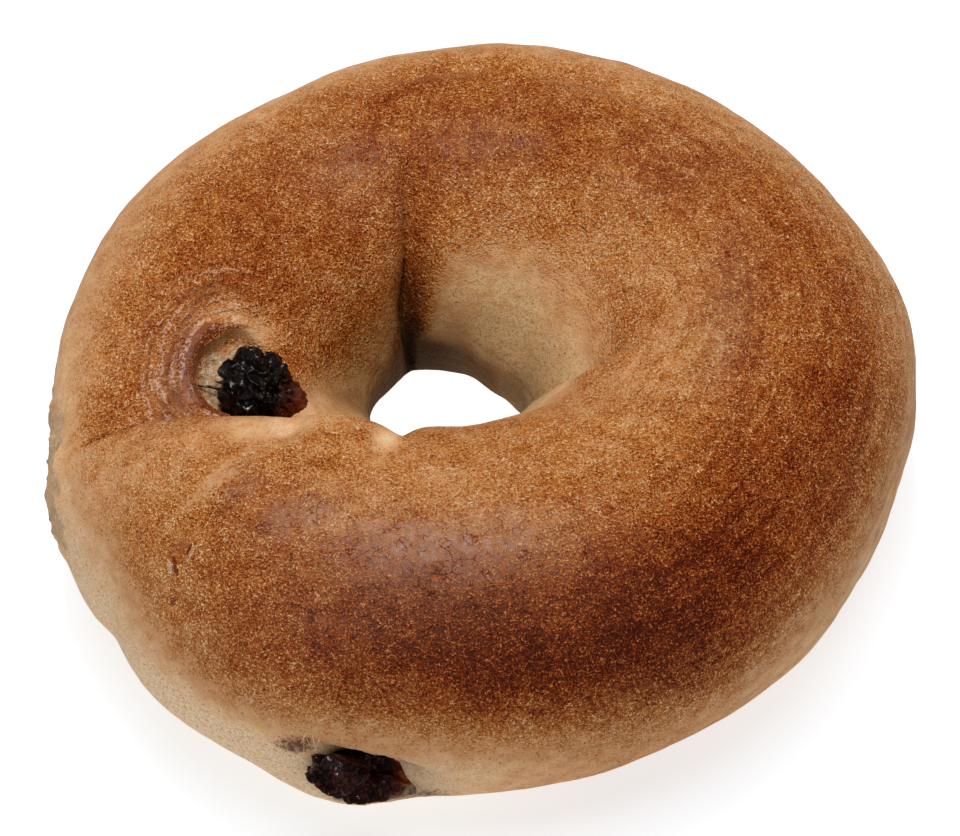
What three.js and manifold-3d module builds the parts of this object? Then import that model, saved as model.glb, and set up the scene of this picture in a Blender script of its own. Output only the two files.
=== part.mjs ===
// A cinnamon raisin bagel: one hand-rolled rope of dough closed into a ring, whose front end laps over
// its start, and two raisins that broke through the crust. Millimetres, +Z up. While it is being shaped
// the ring's hole runs up the Z axis; at the end the whole bagel is centred over its own base.
// Ring angles are in degrees, from +X towards +Y, so the lap, at the front left, is near 200.
import * as THREE from "three";
import { mergeVertices } from "three/addons/utils/BufferGeometryUtils.js";
import Module from "manifold-3d";

const wasm = await Module();
wasm.setup();
const { clamp, degToRad, euclideanModulo, lerp, radToDeg, smoothstep } = THREE.MathUtils;

// ---- The rope -----------------------------------------------------------------------------------
const REACH = 55; // from the hole's axis to the outer flank, on an even ring
const HOLE_RADIUS = 9.4; // the hole at its narrowest, on an even ring
const CROWN = 38; // height of the crust's top, on an even ring
const BELLY_OUTSIDE = 17; // height of the widest point of the outer flank
const BELLY_INSIDE = 18; // height of the narrowest point of the hole
const BASE_DIP = 0.9; // how much of the base's round the flat cuts off

// How uneven the rope was rolled: shares of the even ring, every 30 degrees from +X.
const REACH_SHARES = [1.084, 1.073, 1.042, 0.984, 0.927, 0.915, 0.896, 0.936, 0.967, 0.953, 0.978, 1.018];
const HOLE_SHARES = [1.06, 1.06, 1.01, 1.01, 1.01, 0.96, 0.96, 1.01, 1.03, 0.98, 0.98, 1.02];
const CROWN_SHARES = [1.026, 1, 0.987, 0.974, 0.947, 0.947, 0.961, 1.026, 1.053, 1.053, 1.053, 1.039];

// Roundness of a section's quarters: 2 is an ellipse, less is a slope, more is a squarer shoulder.
const ROUND_TOP_INSIDE = [1.55, 1.6, 1.7, 1.8, 1.9, 1.9, 2, 2.3, 2.5, 2.3, 2.1, 1.7];
const ROUND_TOP_OUTSIDE = 2.15;
const ROUND_BASE_OUTSIDE = 2.4;
const ROUND_BASE_INSIDE = 2;

// Low swellings and hollows round the flank, each with its half width in degrees.
const FLANK_WAVES = [
  { ring: 13, width: 9, height: 0.65 },
  { ring: 42, width: 8, height: -0.4 },
  { ring: 135, width: 7, height: 0.45 },
  { ring: 152, width: 7, height: -0.25 },
  { ring: 197, width: 5, height: 1.1 }, // torn off the bagel that it was baked against
  { ring: 217, width: 5, height: -0.9 },
  { ring: 249, width: 6, height: 0.5 },
  { ring: 322, width: 8, height: 0.55 },
  { ring: 348, width: 9, height: -0.6 },
];

// ---- The lap, the crease and the other relief of the crust --------------------------------------
const LAP_EDGE = [
  [-52, -16], [-44, -14], [-28, -13.6], [-20, -13], [-12, -11], [0, -7.6], [9, -4.6], [22, -3.6],
];
const LAP_DEPTH = 5.5; // how far the start of the rope lies below the end on top of it
const LAP_ROLL = 10; // radius of the top end's rounded edge
const LAP_RUN_OUT = 30; // length over which the start of the rope climbs back to the crown
const LAP_INNER_END = { from: 2, to: -7 }; // X where the lap fades in, from the hole's side
const LAP_OUTER_END = { from: -34, to: -52 }; // X where it fades out, down the left flank

const CREASE_X = -4.8; // the crease at the back of the hole, where the rope is bent most
const CREASE_LEAN = 0.9; // how far its foot lies to the right of its top
const CREASE_DEPTH = 4.5;
const CREASE_LEFT = 3.6; // half widths of its two sides
const CREASE_RIGHT = 7;
const CREASE_REACH = { from: 12, to: 33 }; // distances from the hole's axis over which it runs out
const CREASE_FOOT = { from: 3, to: 10 }; // heights over which it fades in above the base

const TUCK_DEPTH = 3; // where the front roll hides the foot of the hole's right wall
const TUCK_REACH = 5;
const TUCK_LEFT = { from: 5, to: 10 }; // X where it fades in
const TUCK_RIGHT = { from: 17, to: 25 }; // and out again
const TUCK_FOOT = { from: 12, to: 22 }; // heights over which it fades in
const TUCK_STEP = 1.5; // how far behind the lap's edge it is full

const GROOVE = { from: 49, to: 102, right: 44.5, left: 41.3, width: 2.2, depth: 1.3 }; // round the back
const GROOVE_FADE = 9; // degrees over which either end fades

// Swellings and dents in plan: centre, half widths, turn in degrees and height.
const TOP_DENTS = [
  { at: [-12.5, -15.5], half: [4, 3.2], turn: 0, height: 1.3 }, // the lap's knob
  { at: [-5.5, -12.5], half: [1.6, 5], turn: 20, height: -2 }, // and the wrinkles either side of it
  { at: [-18, -17], half: [1.6, 3], turn: -20, height: -1.2 },
];
const CRATER = { at: [-25, -5.2], radius: 7, depth: 2.4 }; // round the top raisin
const PIT = { at: [-7.5, 16.5], half: [5, 2.6], turn: -12, height: -2.6 }; // above the side raisin

// ---- Raisins ------------------------------------------------------------------------------------
// Lobes swell a raisin, or pull it in, towards a direction in its own frame, by shares of its radius.
const RAISINS = [
  {
    name: "raisin_top",
    size: [9.7, 9.2, 9],
    at: [-22.4, -6.9, 31.3],
    turn: [8, -6, 0],
    phase: 0.4,
    lobes: [{ to: [0.85, -0.35, -0.4], height: 0.42 }, { to: [-0.6, 0.7, 0.3], height: 0.12 }],
  },
  {
    name: "raisin_side",
    size: [12.4, 8, 10.4],
    at: [-9.8, -50.2, 12.4],
    turn: [28, 6, 0],
    phase: 2.1,
    lobes: [{ to: [0.55, -0.3, 0.8], height: -0.4 }, { to: [-0.6, 0, 0.8], height: 0.32 }],
  },
];
const RAISIN_FOLD = 0.2; // how deep its folds are, as a share of its radius
const CLEARANCE = 0.3; // between a raisin and the pocket that it sits in
const RAISIN_DETAIL = 5;

const STEPS_ROUND_RING = 128;
const STEPS_ROUND_ROPE = 38;

function skin(name, color, roughness) {
  return new THREE.MeshStandardMaterial({ name, color, roughness, metalness: 0 });
}

const CRUST = skin("crust", 0x9c6233, 0.5);
const RAISIN_SKIN = skin("raisin", 0x1c0a06, 0.3);

// ---- The plain rope -----------------------------------------------------------------------------

// A smooth closed curve through values spread evenly round the ring.
function roundTheRing(values, angle) {
  const place = euclideanModulo(angle / (2 * Math.PI), 1) * values.length;
  const i = Math.floor(place);
  const t = place - i;
  const [a, b, c, d] = [-1, 0, 1, 2].map((step) => values[euclideanModulo(i + step, values.length)]);
  return b + 0.5 * t * (c - a + t * (2 * a - 5 * b + 4 * c - d + t * (3 * (b - c) + d - a)));
}

// A point of the plain rope: ring is the angle round the hole, turn the angle round the rope.
function ropePoint(ring, turn) {
  const reach = REACH * roundTheRing(REACH_SHARES, ring);
  const hole = HOLE_RADIUS * roundTheRing(HOLE_SHARES, ring);
  const crown = CROWN * roundTheRing(CROWN_SHARES, ring);
  const outward = smoothstep(Math.cos(turn), -0.5, 0.5);
  const upward = smoothstep(Math.sin(turn), -0.5, 0.5);
  const belly = lerp(BELLY_INSIDE, BELLY_OUTSIDE, (1 + Math.cos(turn)) / 2);
  const tall = Math.sin(turn) > 0 ? crown - belly : belly + BASE_DIP;
  const topRound = lerp(roundTheRing(ROUND_TOP_INSIDE, ring), ROUND_TOP_OUTSIDE, outward);
  const baseRound = lerp(ROUND_BASE_INSIDE, ROUND_BASE_OUTSIDE, outward);
  const power = lerp(baseRound, topRound, upward);
  const across = Math.abs(Math.cos(turn)) / ((reach - hole) / 2);
  const along = Math.abs(Math.sin(turn)) / tall;
  const radius = (across ** power + along ** power) ** (-1 / power);
  const out = (reach + hole) / 2 + radius * Math.cos(turn);
  return new THREE.Vector3(out * Math.cos(ring), out * Math.sin(ring), belly + radius * Math.sin(turn));
}

function ropeNormal(ring, turn) {
  const step = 1e-3;
  const along = ropePoint(ring + step, turn).sub(ropePoint(ring - step, turn));
  const round = ropePoint(ring, turn + step).sub(ropePoint(ring, turn - step));
  return along.cross(round).normalize();
}

// ---- Relief: how far the crust stands proud of the plain rope, or lies below it ------------------

// Two round rolls that meet: 1 in the crease, 0 a roll's radius away.
function fold(share) {
  const away = 1 - clamp(Math.abs(share), 0, 1);
  return 1 - Math.sqrt(1 - away * away);
}

function falling(value, from, to) {
  return 1 - smoothstep(value, from, to);
}

function fadeIn(value, { from, to }) {
  return smoothstep(value, from, to);
}

function fadeOut(value, { from, to }) {
  return falling(value, from, to);
}

function swelling({ at, half, turn, height }, u, v) {
  const angle = degToRad(turn);
  const along = ((u - at[0]) * Math.cos(angle) + (v - at[1]) * Math.sin(angle)) / half[0];
  const across = ((v - at[1]) * Math.cos(angle) - (u - at[0]) * Math.sin(angle)) / half[1];
  return height * Math.exp(-along * along - across * across);
}

function lapEdge(x) {
  const next = LAP_EDGE.findIndex(([edgeX]) => edgeX > x);
  if (next < 1) return LAP_EDGE.at(next)[1];
  const [[x0, y0], [x1, y1]] = LAP_EDGE.slice(next - 1, next + 1);
  return lerp(y0, y1, (x - x0) / (x1 - x0));
}

function lapRelief(p, top) {
  const begin = falling(p.x, LAP_INNER_END.to, LAP_INNER_END.from);
  const end = smoothstep(p.x, LAP_OUTER_END.to, LAP_OUTER_END.from);
  const ahead = lapEdge(p.x) - p.y;
  const share = ahead > 0 ? fold(ahead / LAP_ROLL) : falling(-ahead, 0, LAP_RUN_OUT);
  return -LAP_DEPTH * top * begin * end * share;
}

function tuckRelief(p, normal) {
  const behind = Math.max(p.y - lapEdge(p.x), 0);
  const place = fadeIn(p.x, TUCK_LEFT) * fadeOut(p.x, TUCK_RIGHT) * fadeIn(p.z, TUCK_FOOT);
  const depth = TUCK_DEPTH * place * smoothstep(behind, 0, TUCK_STEP) * Math.exp(-behind / TUCK_REACH);
  return normal.z > -0.2 ? -depth : 0; // not on the underside
}

function creaseRelief(p) {
  const out = Math.hypot(p.x, p.y);
  const atTheBack = p.y > 4 ? 1 : 0;
  const depth = CREASE_DEPTH * fadeOut(out, CREASE_REACH) * fadeIn(p.z, CREASE_FOOT) * atTheBack;
  const aside = p.x - CREASE_X - CREASE_LEAN * falling(out, 12, 24);
  return -depth * fold(aside / (aside < 0 ? CREASE_LEFT : CREASE_RIGHT));
}

function grooveRelief(p, degrees, top) {
  const radius = lerp(GROOVE.right, GROOVE.left, smoothstep(degrees, GROOVE.from, GROOVE.to));
  const aside = (Math.hypot(p.x, p.y) - radius) / GROOVE.width;
  const begin = smoothstep(degrees, GROOVE.from - GROOVE_FADE, GROOVE.from + GROOVE_FADE);
  const end = falling(degrees, GROOVE.to - GROOVE_FADE, GROOVE.to + GROOVE_FADE);
  return -GROOVE.depth * Math.exp(-aside * aside) * begin * end * top;
}

function flankRelief(degrees, turn, normal) {
  const side = Math.cos(turn) > 0 ? falling(normal.z, 0.2, 0.75) * smoothstep(normal.z, -0.95, -0.6) : 0;
  const waves = FLANK_WAVES.map(({ ring, width, height }) => {
    const away = euclideanModulo(degrees - ring + 180, 360) - 180;
    return height * Math.exp(-((away / width) ** 2));
  });
  return side * waves.reduce((sum, wave) => sum + wave, 0);
}

function relief(p, normal, ring, turn) {
  const degrees = radToDeg(ring);
  const top = smoothstep(normal.z, 0, 0.6);
  const crater = Math.hypot(p.x - CRATER.at[0], p.y - CRATER.at[1]) / CRATER.radius;
  let height = lapRelief(p, top) + tuckRelief(p, normal) + creaseRelief(p);
  height += grooveRelief(p, degrees, top) + flankRelief(degrees, turn, normal);
  height -= CRATER.depth * Math.exp(-(crater ** 4)) * top;
  for (const dent of TOP_DENTS) height += swelling(dent, p.x, p.y) * top;
  if (p.y < -BELLY_OUTSIDE) height += swelling(PIT, p.x, p.z);
  return height;
}

// ---- Solids -------------------------------------------------------------------------------------

// An even torus gives the net; each of its points moves to the rope, and then by the relief.
function doughGeometry() {
  const middle = (REACH + HOLE_RADIUS) / 2;
  const geometry = new THREE.TorusGeometry(middle, middle / 2, STEPS_ROUND_ROPE, STEPS_ROUND_RING);
  const net = geometry.attributes.position;
  for (let i = 0; i < net.count; i++) {
    const ring = Math.atan2(net.getY(i), net.getX(i));
    const turn = Math.atan2(net.getZ(i), Math.hypot(net.getX(i), net.getY(i)) - middle);
    const point = ropePoint(ring, turn);
    const normal = ropeNormal(ring, turn);
    point.addScaledVector(normal, relief(point, normal, ring, turn));
    net.setXYZ(i, point.x, point.y, Math.max(point.z, 0));
  }
  return geometry;
}

// A dried grape: a lump shrunk into sharp-edged folds, larger by grow all round.
function raisinGeometry({ size, at, turn, phase, lobes }, grow = 0) {
  const geometry = new THREE.IcosahedronGeometry(1, RAISIN_DETAIL);
  const net = geometry.attributes.position;
  const p = new THREE.Vector3();
  for (let i = 0; i < net.count; i++) {
    p.fromBufferAttribute(net, i).normalize();
    const across = Math.abs(Math.sin(3.4 * p.x + 2.2 * Math.sin(2.6 * p.z + phase)));
    const round = Math.abs(Math.sin(3.8 * p.y + 1.9 * Math.sin(3.1 * p.x - phase)));
    let lump = 1 - RAISIN_FOLD * (1 - (across + round) / 2);
    for (const { to, height } of lobes) {
      const towards = p.dot(new THREE.Vector3(...to).normalize());
      lump += height * Math.max(towards, 0) ** 4;
    }
    p.set(...p.toArray().map((share, k) => share * ((lump * size[k]) / 2 + grow)));
    net.setXYZ(i, p.x, p.y, p.z);
  }
  const lie = new THREE.Matrix4().makeRotationFromEuler(new THREE.Euler(...turn.map(degToRad)));
  return geometry.applyMatrix4(lie.setPosition(...at));
}

function toSolid(geometry) {
  geometry.deleteAttribute("normal");
  geometry.deleteAttribute("uv");
  const merged = mergeVertices(geometry, 1e-3);
  const vertProperties = new Float32Array(merged.attributes.position.array);
  const triVerts = new Uint32Array(merged.index.array);
  return new wasm.Manifold(new wasm.Mesh({ numProp: 3, vertProperties, triVerts }));
}

function toGeometry(solid) {
  const { vertProperties, triVerts } = solid.getMesh();
  const geometry = new THREE.BufferGeometry();
  geometry.setAttribute("position", new THREE.BufferAttribute(vertProperties, 3));
  geometry.setIndex(new THREE.BufferAttribute(triVerts, 1));
  geometry.computeVertexNormals();
  return geometry;
}

function named(name, geometry, material) {
  const mesh = new THREE.Mesh(geometry, material);
  mesh.name = name;
  return mesh;
}

// ---- The bagel ----------------------------------------------------------------------------------
const bagel = new THREE.Group();
let dough = toSolid(doughGeometry());
for (const raisin of RAISINS) {
  dough = dough.subtract(toSolid(raisinGeometry(raisin, CLEARANCE)));
  bagel.add(named(raisin.name, raisinGeometry(raisin), RAISIN_SKIN));
}
bagel.add(named("dough", toGeometry(dough), CRUST));

const box = new THREE.Box3().setFromObject(bagel);
const centre = box.getCenter(new THREE.Vector3());
bagel.position.set(-centre.x, -centre.y, -box.min.z);

export default bagel;
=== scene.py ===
# %% [markdown]
# # A cinnamon raisin bagel
# A bagel is a single rope of dough, rolled by hand and closed into a ring by laying one end over the
# other. It is boiled before it is baked, which is why its crust is thin, smooth and a little glossy on
# top. Low on the flanks and inside the hole, where the oven's heat hardly reaches, it stays pale.
# The measured model has the dough and two raisins. This lesson makes the same three forms again with a
# much finer skin, and then spends its effort on the finish: browning, grain, wrinkles and sheen.

# %% Load the measured bagel
import bmesh
import bpy
import numpy as np
from mathutils import Matrix, Vector, noise


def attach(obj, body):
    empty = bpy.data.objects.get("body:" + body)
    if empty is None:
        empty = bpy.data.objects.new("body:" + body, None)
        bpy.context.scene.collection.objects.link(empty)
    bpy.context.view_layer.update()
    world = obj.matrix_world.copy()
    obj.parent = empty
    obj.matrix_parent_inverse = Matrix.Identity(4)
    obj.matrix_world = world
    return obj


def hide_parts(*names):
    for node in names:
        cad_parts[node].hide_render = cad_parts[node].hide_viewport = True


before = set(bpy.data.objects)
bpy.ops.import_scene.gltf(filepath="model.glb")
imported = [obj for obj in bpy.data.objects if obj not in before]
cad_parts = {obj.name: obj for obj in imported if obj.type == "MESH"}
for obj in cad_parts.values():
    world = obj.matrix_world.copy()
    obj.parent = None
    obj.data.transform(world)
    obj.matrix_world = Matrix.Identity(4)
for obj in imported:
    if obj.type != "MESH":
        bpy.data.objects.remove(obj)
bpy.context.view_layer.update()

MM = 0.001
print("measured nodes:", ", ".join(sorted(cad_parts)))

# %% [markdown]
# ## Small helpers
# All the shaping is done in millimetres about the axis of the hole, because that is how a ring is
# measured, and goes to metres and to the bagel's own centre at the very end. Most shapes here are
# blends, so a few functions for smooth steps, soft bumps and ridges save a lot of writing.

# %% Smooth steps, bumps and seeded roughness
HOLE_AXIS = np.array([-5.21, -0.103, 0.0])  # where the hole's axis stands once the bagel is centred


def rising(value, start, end):
    share = np.clip((value - start) / (end - start), 0, 1)
    return share * share * (3 - 2 * share)


def falling(value, start, end):
    return 1 - rising(value, start, end)


def blend(a, b, share):
    return a + (b - a) * share


def hill(u, v, at, half, turn=0):
    angle = np.radians(turn)
    along = ((u - at[0]) * np.cos(angle) + (v - at[1]) * np.sin(angle)) / half[0]
    across = ((v - at[1]) * np.cos(angle) - (u - at[0]) * np.sin(angle)) / half[1]
    return np.exp(-along * along - across * across)


def rough(points, size, seed=0.0):
    places = (points / size + seed).tolist()
    return np.array([noise.noise(place) for place in places])


def ridged(points, size, seed=0.0):
    return 1 - 2 * np.abs(rough(points, size, seed))


def line(aside, width):
    return np.exp(-((aside / width) ** 2))


print("hole's axis in the bagel's own frame:", HOLE_AXIS, "mm")

# %% [markdown]
# ## The rope of dough
# A hand-rolled rope is never even. Its reach, the hole's radius and the crown's height are given as
# shares of an even ring, every 30 degrees, and a smooth curve runs through them. Each section of the
# rope is a squarish ellipse whose four quarters have their own roundness, flat where it sat on the tray.
# A sculpted mesh could do this too, but numbers round the ring are easy to correct one at a time.

# %% The plain rope
REACH = 55
HOLE_RADIUS = 9.4
CROWN = 38
BELLY_OUTSIDE = 17
BELLY_INSIDE = 18
BASE_DIP = 0.9
REACH_SHARES = [1.084, 1.073, 1.042, 0.984, 0.927, 0.915, 0.896, 0.936, 0.967, 0.953, 0.978, 1.018]
HOLE_SHARES = [1.06, 1.06, 1.01, 1.01, 1.01, 0.96, 0.96, 1.01, 1.03, 0.98, 0.98, 1.02]
CROWN_SHARES = [1.026, 1, 0.987, 0.974, 0.947, 0.947, 0.961, 1.026, 1.053, 1.053, 1.053, 1.039]
ROUND_TOP_INSIDE = [1.55, 1.6, 1.7, 1.8, 1.9, 1.9, 2, 2.3, 2.5, 2.3, 2.1, 1.7]
ROUND_TOP_OUTSIDE = 2.15
ROUND_BASE_OUTSIDE = 2.4
ROUND_BASE_INSIDE = 2


def round_the_ring(values, ring):
    values = np.array(values, dtype=float)
    place = np.mod(ring / (2 * np.pi), 1) * len(values)
    i = np.floor(place).astype(int)
    t = place - i
    a, b, c, d = (values[(i + step) % len(values)] for step in (-1, 0, 1, 2))
    return b + 0.5 * t * (c - a + t * (2 * a - 5 * b + 4 * c - d + t * (3 * (b - c) + d - a)))


def rope_point(ring, turn):
    reach = REACH * round_the_ring(REACH_SHARES, ring)
    hole = HOLE_RADIUS * round_the_ring(HOLE_SHARES, ring)
    crown = CROWN * round_the_ring(CROWN_SHARES, ring)
    outward = rising(np.cos(turn), -0.5, 0.5)
    upward = rising(np.sin(turn), -0.5, 0.5)
    belly = blend(BELLY_INSIDE, BELLY_OUTSIDE, (1 + np.cos(turn)) / 2)
    tall = np.where(np.sin(turn) > 0, crown - belly, belly + BASE_DIP)
    top_round = blend(round_the_ring(ROUND_TOP_INSIDE, ring), ROUND_TOP_OUTSIDE, outward)
    base_round = blend(ROUND_BASE_INSIDE, ROUND_BASE_OUTSIDE, outward)
    power = blend(base_round, top_round, upward)
    across = np.abs(np.cos(turn)) / ((reach - hole) / 2)
    along = np.abs(np.sin(turn)) / tall
    radius = (across**power + along**power) ** (-1 / power)
    out = (reach + hole) / 2 + radius * np.cos(turn)
    return np.stack([out * np.cos(ring), out * np.sin(ring), belly + radius * np.sin(turn)], axis=1)


def unit(vectors):
    return vectors / np.linalg.norm(vectors, axis=-1, keepdims=True)


def rope_normal(ring, turn, step=1e-3):
    along = rope_point(ring + step, turn) - rope_point(ring - step, turn)
    around = rope_point(ring, turn + step) - rope_point(ring, turn - step)
    return unit(np.cross(along, around))


print("plain rope reaches", round(REACH * REACH_SHARES[0], 1), "mm to the right of the hole's axis")

# %% [markdown]
# ## The lap, the crease and the hollows
# The rope's front end was pressed down over its start, and left a step with a rounded lip. The rope is
# bent hardest at the back of the hole, so it creased there. Shallow swellings round the flank show
# where neighbouring bagels touched it, and the skin sank where a raisin broke through. Each of these is
# a height above or below the plain rope, so they add up without any cutting.

# %% Relief of the crust
LAP_EDGE = [
    [-52, -16], [-44, -14], [-28, -13.6], [-20, -13], [-12, -11], [0, -7.6], [9, -4.6], [22, -3.6],
]
LAP_DEPTH = 5.5
LAP_ROLL = 10
LAP_RUN_OUT = 30
CREASE_X = -4.8
CREASE_LEAN = 0.9
CREASE_DEPTH = 4.5
CREASE_LEFT = 3.6
CREASE_RIGHT = 7
TUCK_DEPTH = 3
TUCK_REACH = 5
GROOVE_DEPTH = 1.3
GROOVE_WIDTH = 2.2
CRATER = (-25, -5.2)
CRATER_RADIUS = 7
CRATER_DEPTH = 2.4
FLANK_WAVES = [  # ring angle, half width in degrees, height
    (13, 9, 0.65), (42, 8, -0.4), (135, 7, 0.45), (152, 7, -0.25), (197, 5, 1.1),
    (217, 5, -0.9), (249, 6, 0.5), (322, 8, 0.55), (348, 9, -0.6),
]
TOP_DENTS = [  # centre in plan, half widths, turn, height
    ((-12.5, -15.5), (4, 3.2), 0, 1.3),
    ((-5.5, -12.5), (1.6, 5), 20, -2),
    ((-18, -17), (1.6, 3), -20, -1.2),
]
PIT = ((-7.5, 16.5), (5, 2.6), -12, -2.6)  # centre in X and Z, above the lower raisin


def fold(share):
    away = 1 - np.clip(np.abs(share), 0, 1)
    return 1 - np.sqrt(1 - away * away)


def lap_edge(x):
    return np.interp(x, [point[0] for point in LAP_EDGE], [point[1] for point in LAP_EDGE])


def lap_strength(x):
    return falling(x, -7, 2) * rising(x, -52, -34)


def lap_relief(x, y, top):
    ahead = lap_edge(x) - y
    share = np.where(ahead > 0, fold(ahead / LAP_ROLL), falling(-ahead, 0, LAP_RUN_OUT))
    return -LAP_DEPTH * top * lap_strength(x) * share


def tuck_relief(x, y, z, up):
    behind = np.maximum(y - lap_edge(x), 0)
    place = rising(x, 5, 10) * falling(x, 17, 25) * rising(z, 12, 22) * (up > -0.2)
    return -TUCK_DEPTH * place * rising(behind, 0, 1.5) * np.exp(-behind / TUCK_REACH)


def crease_aside(x, y):
    return x - CREASE_X - CREASE_LEAN * falling(np.hypot(x, y), 12, 24)


def crease_relief(x, y, z):
    depth = CREASE_DEPTH * falling(np.hypot(x, y), 12, 33) * rising(z, 3, 10) * (y > 4)
    aside = crease_aside(x, y)
    return -depth * fold(aside / np.where(aside < 0, CREASE_LEFT, CREASE_RIGHT))


def groove_relief(x, y, degrees, top):
    radius = blend(44.5, 41.3, rising(degrees, 49, 102))
    aside = (np.hypot(x, y) - radius) / GROOVE_WIDTH
    run = rising(degrees, 40, 58) * falling(degrees, 93, 111)
    return -GROOVE_DEPTH * np.exp(-aside * aside) * run * top


def flank_relief(degrees, turn, up):
    side = (np.cos(turn) > 0) * falling(up, 0.2, 0.75) * rising(up, -0.95, -0.6)
    waves = 0
    for ring, width, height in FLANK_WAVES:
        away = np.mod(degrees - ring + 180, 360) - 180
        waves = waves + height * np.exp(-((away / width) ** 2))
    return side * waves


def main_relief(points, normals, ring, turn):
    x, y, z = points.T
    up = normals[:, 2]
    degrees = np.degrees(np.mod(ring, 2 * np.pi))
    top = rising(up, 0, 0.6)
    height = lap_relief(x, y, top) + tuck_relief(x, y, z, up) + crease_relief(x, y, z)
    height += groove_relief(x, y, degrees, top) + flank_relief(degrees, turn, up)
    away = np.hypot(x - CRATER[0], y - CRATER[1]) / CRATER_RADIUS
    height -= CRATER_DEPTH * np.exp(-(away**4)) * top
    for at, half, lean, dent in TOP_DENTS:
        height += dent * hill(x, y, at, half, lean) * top
    at, half, lean, dent = PIT
    return height + dent * hill(x, z, at, half, lean) * (y < -BELLY_OUTSIDE)


print("relief:", len(FLANK_WAVES), "swells on the flank and", len(TOP_DENTS), "dents on the top")

# %% [markdown]
# ## Two raisins
# A raisin is a dried grape, shrunk until its skin stood up in sharp crinkled folds. An icosphere has
# no poles to pinch the folds, so each raisin starts as one. Two crossed waves fold the lump broadly and
# lobes pull it out or in. Ridged noise, bent by more noise and drawn out one way, crinkles its skin.

# %% Raisin forms
RAISINS = {
    "raisin_top": {
        "size": (9.7, 9.2, 9),
        "at": (-22.4, -6.9, 31.3),
        "turn": (8, -6, 0),
        "phase": 0.4,
        "grain": (1, 1, 0.32),
        "lobes": [
            ((0.8, -0.4, -0.65), 0.44), ((-0.6, 0.7, 0.3), 0.16), ((0.9, -0.1, 0.35), -0.44),
            ((-0.7, -0.5, -0.5), 0.18), ((0.1, 0.5, 0.9), 0.10),
        ],
    },
    "raisin_side": {
        "size": (11.4, 8.2, 10.4),
        "at": (-9.3, -49.9, 12.6),
        "turn": (28, 26, 0),
        "phase": 2.1,
        "grain": (0.45, 1, 0.8),
        "lobes": [
            ((0.35, -0.3, 0.9), -0.80), ((-0.83, -0.12, 0.56), 0.62), ((0.95, -0.3, 0.1), 0.18),
            ((-0.5, -0.2, -0.85), 0.15),
        ],
    },
}
RAISIN_FOLD = 0.2
RAISIN_DETAIL = 7  # how often the icosphere's faces are cut
FOLD_HEIGHT = 0.22  # these three are shares of the raisin's radius
CROSSING_HEIGHT = 0.015
PIT_HEIGHT = 0.012


def raisin_lump(directions, raisin):
    x, y, z = directions.T
    phase = raisin["phase"]
    across = np.abs(np.sin(3.4 * x + 2.2 * np.sin(2.6 * z + phase)))
    around = np.abs(np.sin(3.8 * y + 1.9 * np.sin(3.1 * x - phase)))
    lump = 1 - RAISIN_FOLD * (1 - (across + around) / 2)
    for towards, height in raisin["lobes"]:
        facing = directions @ unit(np.array(towards))
        lump = lump + height * np.maximum(facing, 0) ** 4
    return lump


def raisin_lie(raisin):
    about_x, about_y, about_z = (
        Matrix.Rotation(np.radians(angle), 3, axis) for angle, axis in zip(raisin["turn"], "XYZ")
    )
    return np.array(about_x @ about_y @ about_z)


def crinkles(directions, raisin):
    bent = directions * 2.1 + raisin["phase"]
    bend = np.stack([rough(bent, 1.0, seed) for seed in (3.1, 17.7, 29.3)], axis=1)
    drawn = directions * np.array(raisin["grain"])  # folds run along the smallest share
    folds = ridged(drawn + 0.35 * bend, 0.46, raisin["phase"])
    crossing = ridged(directions + 0.35 * bend, 0.26, 5.0)
    pits = ridged(drawn + 0.20 * bend, 0.12, 9.0)
    tip = CROSSING_HEIGHT + 0.03 * rising(directions[:, 2], 0.4, 0.9)
    height = FOLD_HEIGHT * np.clip(folds, -0.25, 1) ** 2 + tip * crossing + PIT_HEIGHT * pits
    return height - height.mean(), folds + 0.4 * crossing


print("raisin skins:", 20 * 4 ** (RAISIN_DETAIL - 1), "faces each")

# %% [markdown]
# ## From numbers to a mesh
# One circle, spun round the hole's axis and closed on itself, gives a torus with a clean net of
# four-sided faces and no poles. Its rings are drawn closer together on the top and towards the lap and
# the raisins, where there is most to see. Each point then knows its angle round the ring and round the
# rope, and moves to the rope's surface.

# %% Spin the net
RING_STEPS = 104
ROPE_STEPS = 38
CUTS = 4  # each edge of the coarse net is cut into five
MIDDLE = 32.0
ROPE_RADIUS = 16.0
CROWD_RINGS_AT = np.radians(225)
CROWD_ROWS_AT = np.radians(110)


def mesh_from(net, name):
    mesh = bpy.data.meshes.new(name)
    net.to_mesh(mesh)
    net.free()
    return mesh


def put(name, mesh, material):
    mesh.materials.clear()
    mesh.materials.append(material)
    piece = bpy.data.objects.new(name, mesh)
    bpy.context.collection.objects.link(piece)
    return piece


def spun_net():
    net = bmesh.new()
    stand = Matrix.Translation((MIDDLE, 0, 0)) @ Matrix.Rotation(np.pi / 2, 4, "X")
    bmesh.ops.create_circle(net, cap_ends=False, radius=ROPE_RADIUS, segments=ROPE_STEPS, matrix=stand)
    bmesh.ops.spin(
        net, geom=net.verts[:] + net.edges[:], cent=(0, 0, 0), axis=(0, 0, 1), dvec=(0, 0, 0),
        angle=2 * np.pi, steps=RING_STEPS, use_merge=True, use_normal_flip=False, use_duplicate=False,
    )
    bmesh.ops.subdivide_edges(net, edges=net.edges[:], cuts=CUTS, use_grid_fill=True)
    bmesh.ops.recalc_face_normals(net, faces=net.faces[:])
    return mesh_from(net, "dough_crust")


def places(mesh):
    flat = np.empty(len(mesh.vertices) * 3)
    mesh.vertices.foreach_get("co", flat)
    return flat.reshape(-1, 3)


def directions_out(mesh):
    flat = np.empty(len(mesh.vertices) * 3)
    mesh.vertex_normals.foreach_get("vector", flat)
    return flat.reshape(-1, 3)


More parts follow.
